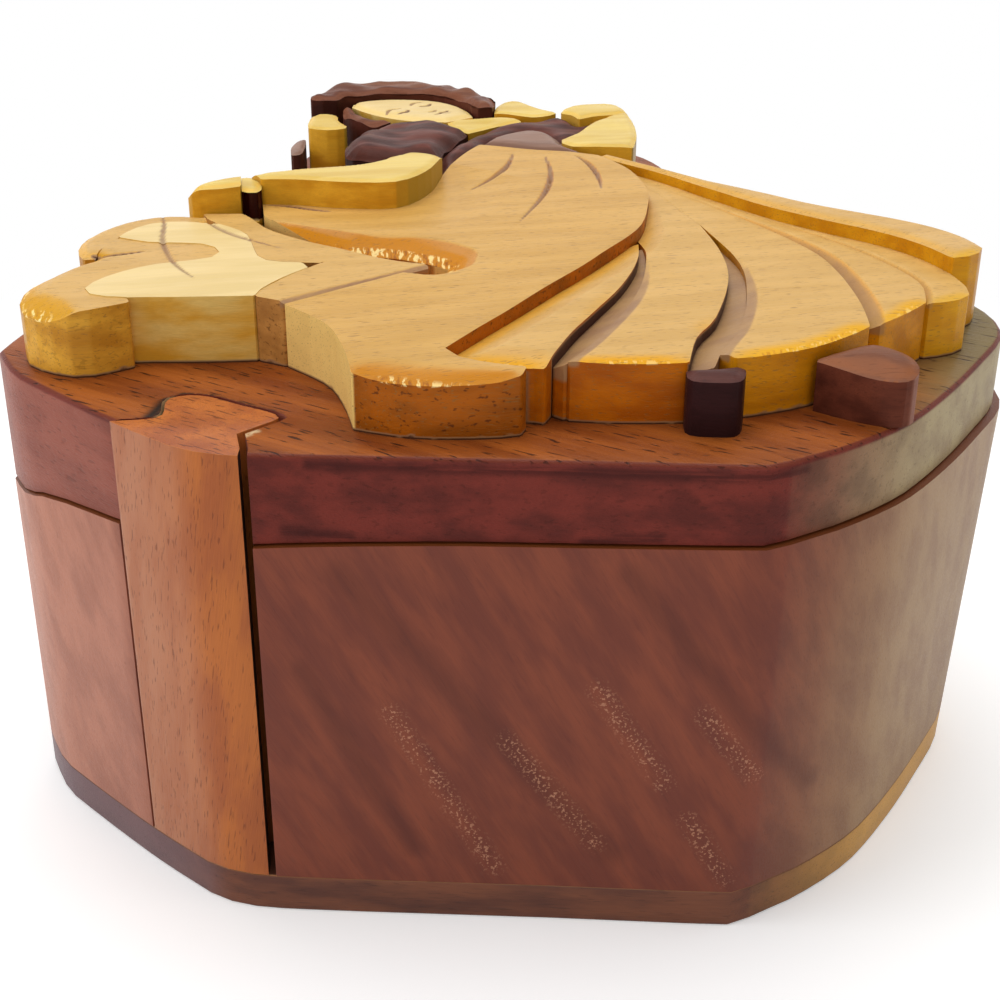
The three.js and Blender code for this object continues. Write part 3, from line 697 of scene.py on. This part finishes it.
hemWood = wood("hem_wood", {
    **honey, "wall": "e0a638", "wallDark": "bc8024", "edge": "cc9424", "wallPores": 0.35,
    "wallPore": "84581c", "glintShare": 0.8,
})
foldWood = wood("fold_wood", {
    **honey, "wall": "c48c48", "wallDark": "a06c34", "edge": "c89440", "wallPores": 0.6,
    "wallPore": "5c3414", "glintShare": 0,
})
panelWood = wood("panel_wood", {**honey, "wall": "c86c02", "wallDark": "a85202", "edge": "dc9c04"})
goldWood = wood("gold_wood", {**honey, "wall": "dc9008", "wallDark": "bc7404", "edge": "e0a40c"})
rimWood = wood("rim_wood", {
    **honey, "wall": "dc9c14", "wallDark": "c88408", "edge": "d8a428", "glintShare": 0,
})
amberWood = wood("amber_wood", {
    **honey, "pale": "e8a020", "dark": "c0740c", "wall": "cc8a14", "wallDark": "8a4a08", "edge": "e8a020",
    "coat": 0.6, "gloss": 0.25, "relief": 1,
})
paleWoods = {**honey, "pores": 0.05, "streaks": 0.15, "glintShare": 0}
creamWood = wood("cream_wood", {
    **paleWoods, "pale": "e6cb90", "dark": "dcc082", "wall": "e6c470", "wallDark": "d8a030", "edge": "e2c888",
})
yellowWood = wood("yellow_wood", {
    **paleWoods, "pale": "e0c470", "dark": "d2b056", "wall": "e4ac30", "wallDark": "c88c1c", "edge": "dcb450",
    "left": "d0a040", "right": "a8862c",
})
darkWoods = {"pores": 0.2, "shine": 0.04, "gloss": 0.34, "coat": 0.02, "streaks": 0.3}
darkWood = wood("dark_wood", {
    **darkWoods, "pale": "6a3a30", "dark": "40201a", "pore": "1c0c0a", "wall": "2c1410", "edge": "4c2820",
    "figure": (9, 3),
})
hairWood = wood("hair_wood", {
    **darkWoods, "pale": "80543e", "dark": "5a3226", "pore": "2c1410", "wall": "50281e", "wallDark": "361a14",
    "edge": "744632", "left": "5c3028",
})
sashWood = wood("sash_wood", {
    **darkWoods, "pale": "9c7c6c", "dark": "846658", "pore": "50382e", "wall": "4c2c24", "edge": "785848",
})
shoeWood = wood("shoe_wood", {
    **darkWoods, "pale": "8c5a40", "dark": "744834", "pore": "2c1610", "wall": "6a3626", "wallDark": "4c241a",
    "edge": "8c5638", "right": "8c5a48",
})
leftShoeWood = wood("dark_shoe_wood", {
    **darkWoods, "pale": "54302a", "dark": "3c2222", "pore": "1c0e0e", "wall": "341a1a", "wallDark": "281414",
    "edge": "5a3630",
})
felt = wood("felt", {
    "pale": "2e2c2c", "dark": "262424", "pore": "1a1818", "gloss": 0.95, "coat": 0, "shine": 0,
})
print("finishes ready")


# box, key and lid

edges = {"flat": 0.4, "sharp": 38, "crease": 32, "segments": 3}  # angles in degrees


def shell(node, look):
    piece = weldedCopy(node, node + "_shaped")
    editWhole(piece, bpy.ops.mesh.dissolve_limited, angle_limit=math.radians(edges["flat"]))
    eased = piece.modifiers.new("eased edges", "BEVEL")
    eased.width = look["edge"] * mm
    eased.segments = edges["segments"]
    eased.limit_method = "ANGLE"
    eased.angle_limit = math.radians(edges["sharp"])
    applyAll(piece)
    bpy.ops.object.shade_smooth_by_angle(angle=math.radians(edges["crease"]))
    return finished(piece, node, look["finish"])


shell("box_body", {"edge": 0.3, "finish": mahogany, "slot": "mahogany"})
shell("key", {"edge": 0.25, "finish": keyWood, "slot": "key_wood"})
shell("lid_board", {"edge": 0.15, "finish": lidWood, "slot": "lid_wood"})
shell("base_plate", {"edge": 0.3, "finish": baseWood, "slot": "mahogany"})
print("box, key and lid shaped")


# the dancer's skirt, with its lines traced in plan in mm

score = {"width": 0.5, "depth": 0.35, "burnAndShade": 0.5}
arc = {
    **score,
    "points": [(-47.5, -8.7), (-46, -14.1), (-45, -20.6), (-43.6, -25.8), (-41.1, -32.5), (-37.5, -38.4)],
}
foldLine = {
    **score,
    "points": [(-41.5, -10.4), (-39.3, -14.8), (-36.5, -18.5), (-33.7, -21.2), (-28.4, -25.6)],
}
# the notch's near-black is painted shade in the cut between the hem pieces
notch = {
    "width": 0.7, "depth": 0.7, "burnAndShade": 1,
    "points": [(-52.8, -27), (-51.2, -27.8), (-49.6, -27.8), (-46, -26.4)],
}
hem = {"lines": [notch, arc], "lift": 0.2, "finish": hemWood, "slot": "honey_wood"}
carve("hem_front", {
    **hem, "flush": ["petticoat", "hem_back"],
    "broad": [
        {"facing": (-1, -0.1), "within": (0.6, 0.9), "width": 2.6, "depth": 1.3, "flat": 0.2, "amberHighlight": 2.5},
        {
            "facing": (-0.75, -0.66), "within": (0.7, 0.93), "width": 3.6, "depth": 2.1, "flat": 0.6,
            "amberHighlight": 6,
        },
    ],
})
carve("hem_back", {**hem, "flush": ["petticoat", "hem_front", "skirt_fold"], "round": (2, 1.2)})
carve("petticoat", {
    "flush": ["hem_front", "hem_back", "skirt_fold"], "lines": [arc, foldLine],
    "finish": creamWood, "slot": "cream_wood",
})
carve("skirt_fold", {
    "flush": ["petticoat", "hem_back"], "lines": [foldLine], "lift": -0.45,
    "slopes": [{"beside": "skirt_main", "width": 0.9, "depth": 0.6, "burnAndShade": 0.45, "back": -6}],
    "finish": foldWood, "slot": "honey_wood",
})
carve("hollow_bed", {
    "round": (0.3, 0.2), "lump": 1.2, "wobble": 0.5, "finish": amberWood, "slot": "amber_wood",
})
pleat = {"width": 0.5, "depth": 0.55, "burnAndShade": 0.66, "taper": 0.9}
carve("skirt_main", {
    "broad": [{
        "facing": (0.1, -1), "within": (0.72, 0.9), "blur": 1.6, "width": 6, "depth": 1.5, "flat": 0.25,
        "amberHighlight": 5,
    }],
    "slopes": [
        {"beside": "hollow_bed", "width": 4, "depth": 2.2, "burnAndShade": 0, "amberHighlight": 1, "back": -2},
        {"beside": "arm_left", "width": 13, "depth": 1, "burnAndShade": 0},
    ],
    "lines": [
        {**pleat, "points": [(1.4, 21.2), (0.3, 12.9), (-1.6, 7.5), (-5.7, 0.7)]},
        {**pleat, "points": [(5.7, 20.6), (6.6, 11.1), (6.2, 3), (4.6, -5.1), (1, -17.2)]},
        {**pleat, "points": [(10.3, 19.1), (12.4, 14.4), (13.5, 7.9), (13.8, -0.6)]},
        {**pleat, "points": [(-33.6, -4.5), (-30.4, -5), (-26, -7), (-23.9, -7.5)],
         "width": 0.7, "burnAndShade": 0.9},
    ],
    "finish": mainWood, "slot": "honey_wood",
})
panel = {
    "broad": [{"facing": (0.25, -1), "width": 3, "depth": 0.5, "flat": 0, "amberHighlight": 3.2}],
    "finish": panelWood, "slot": "honey_wood",
}
besideStep = {"beside": "skirt_main", "width": 5, "depth": 1.6, "burnAndShade": 0, "back": -16, "amberHighlight": 0.5}
besideGroove = {"width": 1.7, "depth": 0.6}
# a panel's dark reach puts painted shade on its walls beside those neighbours
panels = {
    "a": {"slopes": [besideStep], "dark": {"groove_bed_a": 0.5, "skirt_main": 1.9}},
    "b": {"slopes": [{**besideGroove, "beside": "groove_bed_a"}, besideStep], "dark": {"groove_bed_b": 0.5}},
    "c": {
        "slopes": [{**besideGroove, "beside": "groove_bed_b"}], "dark": {"skirt_panel_d": 0.5},
        "finish": goldWood,
    },
    "d": {
        "slopes": [{"beside": "skirt_panel_c", "width": 2.6, "depth": 1.5, "burnAndShade": 0.35}],
        "finish": goldWood,
    },
    "e": {
        "slopes": [{"beside": "skirt_panel_d", "width": 1.2, "depth": 0.7, "burnAndShade": 0.25}],
        "finish": rimWood,
    },
    "f": {"even": True, "round": (1.5, 0.9), "finish": rimWood},
}
for letter, look in panels.items():
    carve("skirt_panel_" + letter, {**panel, **look})
ramp = {"deep": 0.9, "even": 0.7, "shallow": 0.6, "floor": 0.1, "burntAndShaded": 0.12, "bare": 0.5}
for bed, left, right in (("a", "a", "b"), ("b", "b", "c")):
    carve("groove_bed_" + bed, {
        "lift": 3.5, "ramp": {**ramp, "between": ["skirt_panel_" + left, "skirt_panel_" + right]},
        "finish": panelWood, "slot": "groove_wood",
    })
print("skirt carved")


# shoes, bodice, arms and head

carve("shoe_left", {"round": (1.6, 1), "finish": leftShoeWood, "slot": "shoe_wood"})
carve("shoe_right", {
    "round": (2.6, 1.1),
    "broad": [{"facing": (0.2, -1), "width": 5, "depth": 1.8, "flat": 0.7, "amberHighlight": 0.1}],
    "finish": shoeWood, "slot": "shoe_wood",
})
lumpy = {"lump": 5.5, "wobble": 0.8, "voxel": 0.25}
carve("sash", {
    **lumpy, "wobble": 0.3, "lift": 1.2, "round": (2.6, 1.6), "finish": sashWood, "slot": "sash_wood",
})
carve("bodice", {**lumpy, "round": (2.8, 2), "finish": darkWood, "slot": "dark_wood"})
carve("sleeve_left", {**lumpy, "round": (3.4, 2.4), "finish": darkWood, "slot": "dark_wood"})
carve("arm_left", {
    "round": (1, 0.7), "flush": ["cuff_left"],
    "broad": [{"facing": (0, 1), "width": 7, "depth": 2, "flat": 1, "within": (-0.2, 0.5), "amberHighlight": 0.1}],
    "finish": yellowWood, "slot": "yellow_wood",
})
carve("hand_left", {
    "round": (1.4, 1), "flush": ["cuff_left"],
    "broad": [{"facing": (-1, 0.1), "width": 4, "depth": 3, "flat": 0.3, "within": (0.2, 0.8), "blur": 0.8}],
    "voxel": 0.25, "finish": yellowWood, "slot": "yellow_wood",
})
limb = {
    "round": (0.9, 0.7), "wobble": 0.3, "lump": 5, "voxel": 0.25, "finish": yellowWood, "slot": "yellow_wood",
}
for name in ("arm_right_upper", "arm_right_fore", "shoulder_right", "neck", "hair_flower"):
    carve(name, limb)
carve("cuff_left", {
    "lift": 0.8, "round": (1.2, 0.9), "flush": ["arm_left", "hand_left"],
    "hole": {"above": 6.8, "under": 0.3, "fade": 0.3, "deep": 1.2}, "voxel": 0.22,
    "finish": yellowWood, "slot": "groove_wood",
})

chin = (-7.5, 45.3)
crownwards = (-0.825, 0.567)  # the way from the chin to the crown, in plan


def onFace(*spots):  # each given as mm up from the chin and mm across the face
    (x, y), (back, side) = chin, crownwards
    return [(x + back * up + side * across, y + side * up - back * across) for up, across in spots]


cut = {"width": 0.5, "depth": 0.4, "burnAndShade": 0.8, "taper": 0.5}
features = [
    {**cut, "points": onFace((3.9, -2), (3.6, -0.7), (3.9, 0), (3.6, 0.7), (3.9, 2))},
    {"points": onFace((3, -1), (2.8, 0), (3, 1)), "width": 0.9, "depth": -0.25, "burnAndShade": 0.2},
    {"points": onFace((10.6, 0), (8, 0), (6.1, 0)), "width": 1.2, "depth": -0.7, "burnAndShade": 0},
    {**cut, "points": onFace((5.9, -1.1), (5.5, 0), (5.9, 1.1)), "burnAndShade": 0.5},
]
for side in (-1, 1):
    lash = onFace((9.7, side * 1.5), (9, side * 3), (9.6, side * 4.6))
    brow = onFace((11.4, side * 1.3), (12.3, side * 3.2), (11.5, side * 5.2))
    eyelid = onFace((10.2, side * 1.6), (10.3, side * 3), (10.1, side * 4.4))
    features += [
        {**cut, "points": lash},
        {**cut, "points": brow, "burnAndShade": 0.5},
        {"points": eyelid, "width": 1, "depth": -0.35, "burnAndShade": 0},
    ]
carve("face", {
    "round": (2.2, 1.2), "voxel": 0.22, "wobble": 0.05, "lines": features,
    "finish": creamWood, "slot": "cream_wood",
})
for name in ("hair", "hair_lock"):
    carve(name, {**lumpy, "lump": 4, "round": (1.8, 1.4), "finish": hairWood, "slot": "hair_wood"})
carve("ribbon", {"round": (0.8, 0.6), "finish": sashWood, "slot": "sash_wood"})
print("figure carved")


# felt floor

feltSheet = weldedCopy("felt_floor", "felt_sheet")
finished(feltSheet, "felt_floor", felt)


# floor, light and camera

white = "ffffff"
floorLook = {  # it fades into the white background between two distances from the middle, in metres
    "size": 4, "tint": "f4f4f4", "rough": 0.9, "shine": 0.1, "glow": 1, "lift": 0.24, "fade": (0.09, 0.2),
}
bpy.ops.object.select_all(action="DESELECT")
bpy.ops.mesh.primitive_plane_add(size=floorLook["size"], location=(0, 0, 0))
floor = bpy.context.object
floor.name = "floor"
floorPaint = bpy.data.materials.new("floor_paint")
paint = Shading(floorPaint)
matte = paint.fed(paint.tree.nodes["Principled BSDF"], {
    "Base Color": floorLook["tint"], "Roughness": floorLook["rough"],
    "Specular IOR Level": floorLook["shine"],
})
glow, lift = [
    paint.fed(paint.add("ShaderNodeEmission"), {"Color": white, "Strength": floorLook[name]}).outputs[0]
    for name in ("glow", "lift")
]
middle = paint.add("ShaderNodeTexCoord").outputs["Object"]
fade = paint.span(paint.vector("LENGTH", middle, (0, 0, 0), "Value"), *floorLook["fade"])
onlySeen = paint.blend(paint.add("ShaderNodeLightPath").outputs["Is Camera Ray"], {2: lift})
near = paint.fed(paint.add("ShaderNodeAddShader"), {0: matte.outputs[0], 1: onlySeen}).outputs[0]
paint.fed(paint.tree.nodes["Material Output"], {"Surface": paint.blend(fade, {1: near, 2: glow})})
floor.data.materials.append(floorPaint)

studio = {
    "ambient": 0.42,
    "lamps": {
        "top_softbox": {"place": (0, 0.1, 0.6), "aim": (0, 0, 0), "size": (0.6, 0.5), "watts": 3.0},
        "front_fill": {"place": (0.15, -0.7, 0.4), "aim": (0, 0, 0.03), "size": (0.6, 0.4), "watts": 0.9},
        "left_fill": {"place": (-0.6, -0.2, 0.3), "aim": (0, 0, 0.03), "size": (0.4, 0.4), "watts": 1.6},
    },
}
world = bpy.data.worlds.new("studio")
bpy.context.scene.world = world
sky = Shading(world)
sky.tree.nodes.clear()
ambient = sky.fed(sky.add("ShaderNodeBackground"), {"Strength": studio["ambient"]}).outputs[0]
backdrop = sky.fed(sky.add("ShaderNodeBackground"), {"Color": white}).outputs[0]
rays = sky.add("ShaderNodeLightPath").outputs
seen = sky.sum("MAXIMUM", rays["Is Camera Ray"], rays["Is Glossy Ray"])
seen = sky.sum("MAXIMUM", seen, rays["Is Transmission Ray"])
sky.fed(sky.add("ShaderNodeOutputWorld"), {"Surface": sky.blend(seen, {1: ambient, 2: backdrop})})


def hangLamp(name, look):
    light = bpy.data.lights.new(name, "AREA")
    light.shape = "RECTANGLE"
    light.size, light.size_y = look["size"]
    light.energy = look["watts"]
    holder = bpy.data.objects.new(name, light)
    bpy.context.scene.collection.objects.link(holder)
    holder.location = look["place"]
    towards = Vector(look["aim"]) - Vector(look["place"])
    holder.rotation_euler = towards.to_track_quat("-Z", "Y").to_euler()


for name, look in studio["lamps"].items():
    hangLamp(name, look)

view = {
    "place": (-0.0022, -0.224, 0.1289), "down": 25.86, "roll": 0.17, "lens": 57.6, "sensor": 36, "near": 0.01,
}
cameraData = bpy.data.cameras.new("camera")
cameraData.lens = view["lens"]
cameraData.sensor_width = view["sensor"]
cameraData.clip_start = view["near"]
camera = bpy.data.objects.new("camera", cameraData)
bpy.context.scene.collection.objects.link(camera)
camera.location = view["place"]
camera.rotation_euler = (math.radians(90 - view["down"]), math.radians(-view["roll"]), 0)
bpy.context.scene.camera = camera
bpy.context.scene.view_settings.view_transform = "Standard"

print("scene ready")
